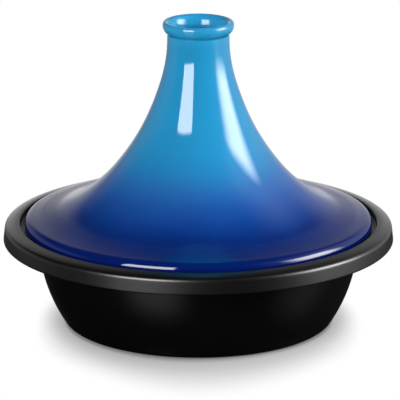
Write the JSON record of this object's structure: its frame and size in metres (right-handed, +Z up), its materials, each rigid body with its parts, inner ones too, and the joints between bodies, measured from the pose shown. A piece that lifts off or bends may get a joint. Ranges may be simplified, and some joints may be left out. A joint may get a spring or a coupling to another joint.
{
  "type": "tagine pot",
  "caption": "Round cooking dish with a wide flange rim, and a tall cone-shaped lid that stands in a sunken ledge inside the rim and lifts off by its flared, cupped neck.",
  "frame": {"origin": "centre of the base's underside, on the table", "axes": "+Z up along the axis that both pieces are turned about; the pot is round, so +X and +Y are any two level directions at right angles"},
  "size_m": [0.2697, 0.2698, 0.212],
  "materials": {
    "black_enamel": "satin enamel",
    "blue_glaze": "gloss glaze, pale blue at the neck to deep blue at the edge"
  },
  "bodies": {
    "base": {"base_dish": "black_enamel"},
    "lid": {"conical_lid": "blue_glaze"}
  },
  "joints": [
    {"name": "lid_lift", "type": "slide", "parent": "base", "child": "lid", "axis": [0, 0, 1], "range_m": [0, 0.3]}
  ]
}
